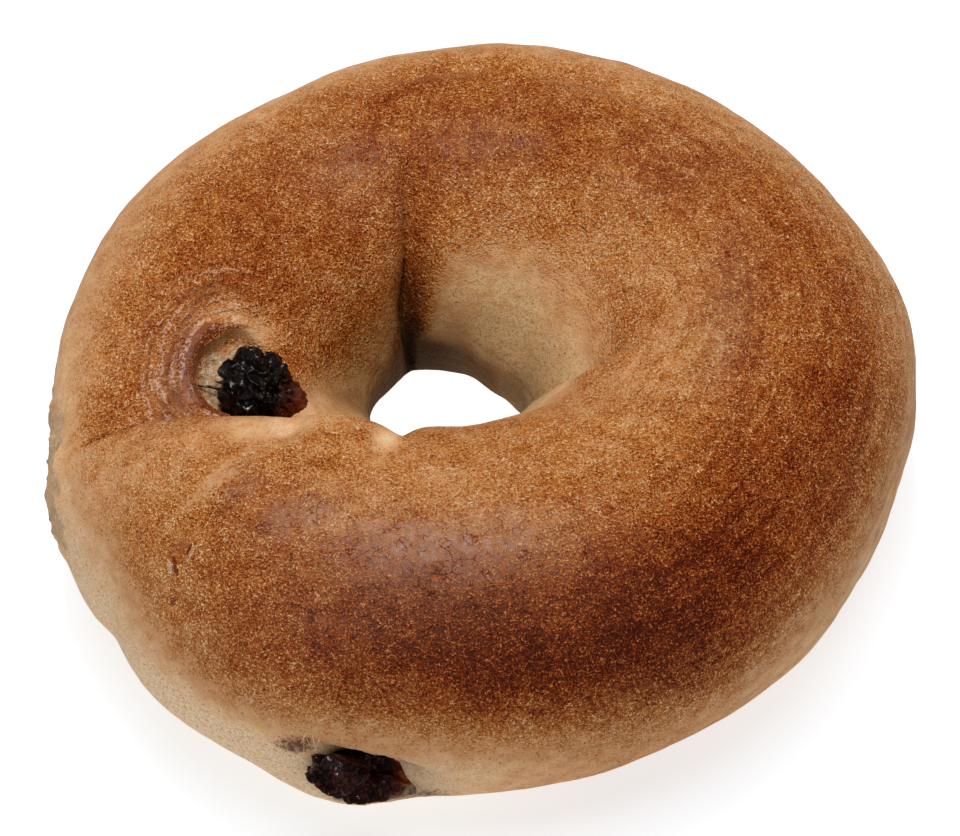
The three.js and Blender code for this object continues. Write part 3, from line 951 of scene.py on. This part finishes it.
# %% Small marks, each in its own place
SLIT = opaque(paint(84, 32, 16))
OILY = opaque(paint(176, 86, 34))
CORNMEAL = opaque(paint(202, 172, 62))
FREE_SKIN = opaque(paint(222, 196, 162))
MARKS = [  # middle, half sizes, turn in plan, colour, strength
    ((-30.9, -33.0, 35), (1.9, 1.0, 3), 15, OILY, 0.55),
    ((-31.5, -34.3, 33.6), (0.26, 1.5, 3), 13, SLIT, 0.8),
    ((-32.2, -34.3, 33), (0.28, 1.0, 3), 12, FREE_SKIN, 0.55),
    ((-29.8, -33.5, 35.2), (0.22, 0.6, 3), -30, SLIT, 0.85),
    ((-29.4, -33.9, 35.2), (0.13, 0.9, 3), -38, FREE_SKIN, 0.6),
    ((-31.8, -37.5, 30.7), (0.40, 0.35, 2), 0, SLIT, 0.6),
    ((-0.5, -39.5, 38.5), (0.60, 0.40, 2), 0, OILY, 0.9),
    ((-21.7, -48.8, 20.7), (0.55, 0.6, 0.55), 0, CORNMEAL, 0.7),
]
for at, half, lean, colour, strength in MARKS:
    edge = crust_finish.near(at, half, lean) + (grit - 0.5) * 1.1
    crust_colour = laid_over((1 - edge.step(0.75, 1.15)) * strength, colour)
print("small marks:", len(MARKS))

# %% Bump and gloss of the crust
BUMP_DEPTH = 0.45  # millimetres
BARE_ROUGHNESS = 0.60
firm = baked.step(0.10, 0.50) * 0.85 + 0.15
height = (grit * 1.2 + fine * 0.6) * firm + mottle * 0.5
height = height + streaks * flank * 0.5 + swirls * swirl_share * 0.9
roughness = BARE_ROUGHNESS - shine * 0.28 + torn_share * 0.25
coat = shine * (1 - grain.step(0.41, 0.59)) * (1 - lines) * 0.5
crust_material = crust_finish.surface(
    crust_colour, roughness, height, BUMP_DEPTH, coat,
    **{"Coat Roughness": 0.30, "Specular IOR Level": 0.08},
)
print("crust finish:", len(crust_finish.nodes), "nodes")

# %% Put the crust on
dough_mesh.shade_smooth()
dough = put("dough_crust", dough_mesh, crust_material)
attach(dough, "root")
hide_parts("dough")
print("dough is", [round(side / MM, 1) for side in dough.dimensions], "mm")

# %% [markdown]
# ## The raisins' skin
# Raisin skin is nearly black where it is thick and folded, and glows red-brown to amber where a thin
# edge lets light through. It is sticky with its own syrup, so the folds glint. The colour follows the
# folds' height and a map of the amber edges, both stored on the points. That amber is partly the skin's
# own red-brown and partly a painted glow of light through thin skin. The gloss comes from a low
# roughness and spots of thin coat.

# %% Raisin material
RAISIN_STOPS = [
    (0.0, paint(4, 2, 2)),
    (0.3, paint(16, 5, 4)),
    (0.55, paint(74, 22, 10)),
    (0.78, paint(138, 58, 20)),
    (1.0, paint(196, 116, 48)),
]
RAISIN_BUMP = 0.22  # millimetres
raisin_finish = Finish("raisin_finish")
folds = raisin_finish.map("folds")
amber_tone_and_glow = raisin_finish.map("amber_tone_and_glow")
skin_noise = raisin_finish.clouds(0.5, 4, 0.65)
glow = amber_tone_and_glow + (folds - 0.5) * 0.40 + (skin_noise - 0.5) * 0.55
raisin_colour = raisin_finish.node("ShaderNodeValToRGB", {"stops": RAISIN_STOPS}, {"Fac": glow})
raisin_height = skin_noise + raisin_finish.clouds(0.16, 2) * 0.5
sticky = raisin_finish.clouds(0.5, 1).step(0.54, 0.60)
raisin_material = raisin_finish.surface(
    raisin_colour, 0.30 - folds * 0.10, raisin_height, RAISIN_BUMP, sticky,
    **{"Specular IOR Level": 0.15, "Coat Roughness": 0.06},
)
print("raisin finish:", len(raisin_finish.nodes), "nodes")


# %% Raisin meshes
SKIN_SHRINK = 0.03  # as a share of the raisin's radius


# the amber edges: partly the raisins' own red-brown, partly a painted glow of light through thin skin
def amber_tone_and_glow_share(points, name):
    if name == "raisin_top":
        edge = falling(np.abs(points[:, 0] + 18.6), 1.0, 3.6) * falling(points[:, 2], 29, 34)
        return 0.08 + 0.45 * edge
    low = falling(points[:, 2], 7.6, 11.0)
    right = rising(points[:, 0], -6.4, -3.6)
    left = falling(points[:, 0], -15.6, -13.6) * falling(points[:, 2], 9, 15)
    return 0.22 + 0.50 * np.maximum(np.maximum(low, right), left)


for name, raisin in RAISINS.items():
    lump = bmesh.new()
    bmesh.ops.create_icosphere(lump, subdivisions=RAISIN_DETAIL, radius=1)
    raisin_mesh = mesh_from(lump, name + "_skin")
    directions = unit(places(raisin_mesh))
    height, fold_map = crinkles(directions, raisin)
    size = (raisin_lump(directions, raisin) + height - SKIN_SHRINK)[:, None]
    points = directions * size * np.array(raisin["size"]) / 2
    points = points @ raisin_lie(raisin).T + np.array(raisin["at"])
    move_to(raisin_mesh, (points + HOLE_AXIS) * MM)
    store(raisin_mesh, "folds", np.clip(0.5 + 0.4 * fold_map, 0, 1))
    store(raisin_mesh, "amber_tone_and_glow", amber_tone_and_glow_share(points, name))
    raisin_mesh.shade_smooth()
    piece = put(name + "_skin", raisin_mesh, raisin_material)
    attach(piece, "root")
    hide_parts(name)
    print(name, "is", np.ptp(points, axis=0).round(1), "mm")

# %% [markdown]
# ## Threads
# Two small things are left that stand free of the skin: the stub of stalk still on the upper raisin,
# and the threads of dough that stretched before they let go of the lower one. A curve with a round
# bevel draws a thread in a few points, and is turned into a mesh once it is drawn. Each one starts on
# the crust, at the nearest point of its skin to the place that is asked for.


# %% A way to draw threads
def on_crust(*wanted):  # x and y on the top, or x and z on the front
    axes = [axis for axis, value in enumerate(wanted) if value is not None]
    away = np.abs(crust[:, axes] - np.array([wanted[axis] for axis in axes])).sum(axis=1)
    seen = (out[:, 2] > 0.3) if wanted[2] is None else (crust[:, 1] < -40)
    return crust[np.argmin(np.where(seen, away, np.inf))]


def threads(name, routes, radius, material):
    curve = bpy.data.curves.new(name, "CURVE")
    curve.dimensions = "3D"
    curve.bevel_depth = radius * MM
    curve.bevel_resolution = 2
    curve.use_fill_caps = True
    for route in routes:
        spline = curve.splines.new("NURBS")
        spline.points.add(len(route) - 1)
        spline.use_endpoint_u = True
        spline.order_u = 3
        for place, (point, at) in enumerate(zip(spline.points, route)):
            point.co = (*((at + HOLE_AXIS) * MM), 1)
            point.radius = 1 - 0.6 * place / len(route)
    drawn = bpy.data.objects.new(name + "_curve", curve)
    bpy.context.collection.objects.link(drawn)
    ready = drawn.evaluated_get(bpy.context.evaluated_depsgraph_get())
    piece = put(name, bpy.data.meshes.new_from_object(ready), material)
    bpy.data.objects.remove(drawn)
    piece.data.shade_smooth()
    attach(piece, "root")
    print(name, "has", len(piece.data.vertices), "points")


# %% The stalk and the stretched dough
STALK = [(-27.0, -6.6, 1.2), (-28.1, -6.0, 1.0), (-29.2, -5.8, 0.5), (-30.0, -6.1, 0.35)]
STALK_RADIUS = 0.22
THREAD_STARTS = [
    (-16.4, 21.4), (-16.1, 21.9), (-15.8, 22.2), (-15.4, 22.0), (-15.0, 22.2), (-14.4, 21.9),
]
THREAD_RADIUS = 0.06
THREAD_DROP = 2.6
stalk_route = [on_crust(x_at, y_at, None) + (0, 0, above) for x_at, y_at, above in STALK]
threads("raisin_stalk", [stalk_route], STALK_RADIUS, raisin_material)
dough_threads = []
for place, (x_start, z_start) in enumerate(THREAD_STARTS):
    start = on_crust(x_start, None, z_start)
    drop = THREAD_DROP + 0.9 * np.sin(2.3 * place)
    slant = 0.9 * np.cos(1.7 * place)
    middle = start + np.array([slant * 0.6, -0.35, -0.5 * drop])
    dough_threads.append([start + (0, 0.2, 0.2), middle, start + (slant, -0.5, -drop)])
threads("dough_threads", dough_threads, THREAD_RADIUS, crust_material)

# %% [markdown]
# ## A white table and soft light
# The bagel lies on a white table in a dim white room. A big soft light hangs nearly overhead with a
# small lamp beside it, a weak light fills the front, and the flanks get what the table throws back. A
# glow in the table keeps it a plain white and its shadows faint. The patch of table inside the hole
# would still be grey, so a white card lies there, which only the camera sees.

# %% Table
TABLE_HALF = 1.5  # metres
TABLE_DROP = 0.02  # millimetres, to be clear of the bagel's flat base
TABLE_COLOUR = opaque((0.455, 0.505, 0.565))
TABLE_GLOW = 0.68
PAPER_BUMP = 0.01
floor_net = bmesh.new()
bmesh.ops.create_grid(floor_net, x_segments=2, y_segments=2, size=TABLE_HALF)
bmesh.ops.translate(floor_net, verts=floor_net.verts[:], vec=(0, 0, -TABLE_DROP * MM))
table_finish = Finish("table_finish")
unevenness = table_finish.clouds(40.0)
table_finish.surface(
    TABLE_COLOUR, 0.8 + (unevenness - 0.5) * 0.05, unevenness, PAPER_BUMP,
    **{"Emission Color": (1, 1, 1, 1), "Emission Strength": TABLE_GLOW},
)
table = put("table", mesh_from(floor_net, "table"), table_finish.material)
table.visible_glossy = False
print("table:", 2 * TABLE_HALF, "m wide")

# %% A white card under the hole
CARD_RADIUS = 22
CARD_LIFT = 0.05
card_net = bmesh.new()
bmesh.ops.create_circle(card_net, cap_ends=True, radius=CARD_RADIUS * MM, segments=64)
card_at = Vector(HOLE_AXIS * MM) + Vector((0, 0, CARD_LIFT * MM))
bmesh.ops.translate(card_net, verts=card_net.verts[:], vec=card_at)
card_finish = Finish("card_finish")
card_finish.surface(
    opaque((1, 1, 1)), 0.8, card_finish.clouds(40.0), PAPER_BUMP,
    **{"Emission Color": (1, 1, 1, 1), "Emission Strength": 1.0},
)
card = put("card", mesh_from(card_net, "card"), card_finish.material)
card.visible_diffuse = False
card.visible_glossy = False
card.visible_shadow = False
print("card:", 2 * CARD_RADIUS, "mm across")

# %% Lights
ROOM_LIGHT = 0.10
world = bpy.data.worlds.new("white_room")
world.use_nodes = True
world.node_tree.nodes["Background"].inputs["Color"].default_value = (1, 1, 1, 1)
world.node_tree.nodes["Background"].inputs["Strength"].default_value = ROOM_LIGHT
bpy.context.scene.world = world


def hold(name, data, place, away):
    thing = bpy.data.objects.new(name, data)
    thing.location = place
    thing.rotation_euler = away.to_track_quat("Z", "Y").to_euler()
    bpy.context.collection.objects.link(thing)
    return thing


def softbox(name, azimuth, elevation, distance, side, power):  # azimuth in degrees from the back
    light = bpy.data.lights.new(name, "AREA")
    light.size = side
    light.energy = power
    a = np.radians(azimuth)
    e = np.radians(elevation)
    away = Vector((np.sin(a) * np.cos(e), np.cos(a) * np.cos(e), np.sin(e)))
    hold(name, light, away * distance, away)
    print(name, "is", side, "m wide and gives", power, "W from", elevation, "degrees up")


softbox("overhead_softbox", 0, 79, 1.3, 1.1, 13.5)
softbox("small_lamp", -12, 74, 1.3, 0.14, 4)
softbox("front_fill", 205, 32, 1.4, 0.45, 2.8)

# %% [markdown]
# ## The camera
# It looks down at 54 degrees from a little over half a metre away, so the ring's near side is about a
# tenth larger than its far side and the hole shows a sliver of table.

# %% Camera
CAMERA_ELEVATION = 54
CAMERA_DISTANCE = 560  # millimetres from the point that it was aimed at
AIM_HEIGHT = 15
SLIDE_RIGHT = 4.68
SLIDE_UP = 0.5
LENS = 165.9

lift_angle = np.radians(CAMERA_ELEVATION)
toward_camera = Vector((0, -np.cos(lift_angle), np.sin(lift_angle)))
camera_up = Vector((0, np.sin(lift_angle), np.cos(lift_angle)))
aim = Vector(HOLE_AXIS) + Vector((SLIDE_RIGHT, 0, AIM_HEIGHT)) + camera_up * SLIDE_UP
camera_data = bpy.data.cameras.new("camera")
camera_data.lens = LENS
camera = hold("camera", camera_data, (aim + toward_camera * CAMERA_DISTANCE) * MM, toward_camera)
bpy.context.scene.camera = camera
bpy.context.scene.view_settings.view_transform = "Standard"
print("camera at", [round(place / MM) for place in camera.location], "mm")
